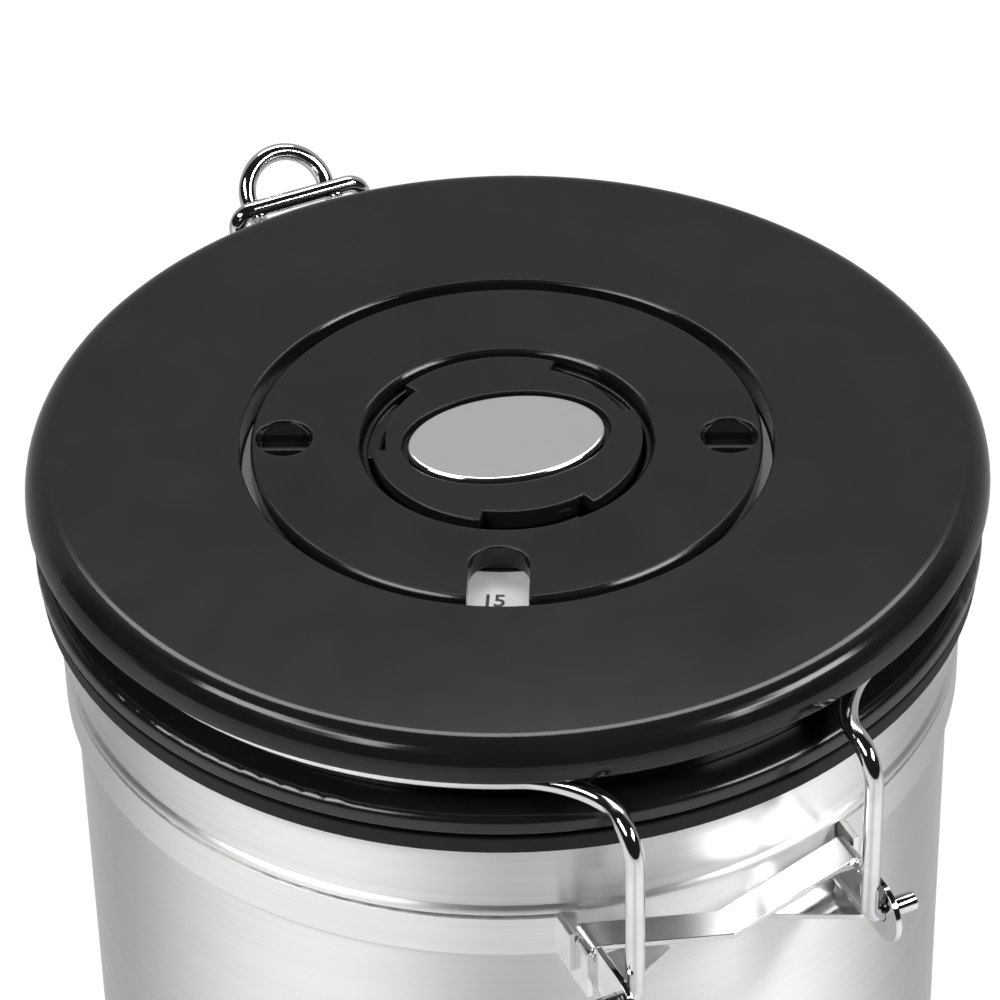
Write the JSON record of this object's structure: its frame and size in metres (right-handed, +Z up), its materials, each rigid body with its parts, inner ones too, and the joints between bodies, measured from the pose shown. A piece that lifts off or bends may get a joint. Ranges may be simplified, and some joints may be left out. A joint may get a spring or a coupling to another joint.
{
  "type": "coffee canister with valve",
  "caption": "Round steel coffee canister with a black hinged lid, wire bail latch, date dial and one-way valve.",
  "frame": {"origin": "centre of the foot, on the surface that the canister stands on", "axes": "+Z up along the canister's axis, +Y towards the hinge, -Y towards the latch"},
  "size_m": [0.1286, 0.1554, 0.18],
  "materials": {
    "steel": "brushed",
    "bright": "polished",
    "black": "gloss",
    "grey": "matte",
    "silicone": "satin",
    "card": "matte",
    "felt": "matte",
    "badge": "satin",
    "tape": "matte"
  },
  "bodies": {
    "canister": {"body_shell": "steel", "base_plate": "steel", "base_pad": "silicone", "neck_band": "steel", "hinge_bridge": "bright", "hinge_lug_left": "bright", "hinge_lug_right": "bright", "latch_bracket": "bright", "latch_pin": "bright"},
    "lid": {"lid_shell": "black", "lid_collar": "black", "lid_gasket": "silicone", "lid_liner": "grey", "liner_screws": "bright", "date_card": "card", "dial_washer": "silicone", "valve_seat": "black", "valve_filter": "felt", "bail_wire": "bright"},
    "dial": {"date_dial": "black"},
    "cap": {"valve_cap": "black", "valve_badge": "badge", "badge_tape": "tape"},
    "flap": {"valve_disc": "silicone"},
    "lever": {"latch_lever": "bright"},
    "loop": {"latch_loop": "bright"}
  },
  "joints": [
    {"name": "lid_hinge", "type": "hinge", "parent": "canister", "child": "lid", "pos_m": [0, 0.0716, 0.146], "axis": [-1, 0, 0], "range_deg": [0, 175]},
    {"name": "lever_hinge", "type": "hinge", "parent": "canister", "child": "lever", "pos_m": [0, -0.068, 0.1467], "axis": [-1, 0, 0], "range_deg": [0, 120]},
    {"name": "loop_hinge", "type": "hinge", "parent": "lever", "child": "loop", "pos_m": [0, -0.0668, 0.1377], "axis": [-1, 0, 0], "range_deg": [-110, 2]},
    {"name": "dial_turn", "type": "hinge", "parent": "lid", "child": "dial", "pos_m": [0, 0, 0.178], "axis": [0, 0, 1], "continuous": true},
    {"name": "cap_turn", "type": "hinge", "parent": "lid", "child": "cap", "pos_m": [0, 0, 0.178], "axis": [0, 0, 1], "range_deg": [0, 50]},
    {"name": "flap_lift", "type": "slide", "parent": "lid", "child": "flap", "axis": [0, 0, 1], "range_m": [0, 0.0008], "stiffness_N_per_m": 20}
  ],
  "couplings": [
    {"joint": "loop_hinge", "follows": "lever_hinge", "ratio": -0.88}
  ]
}
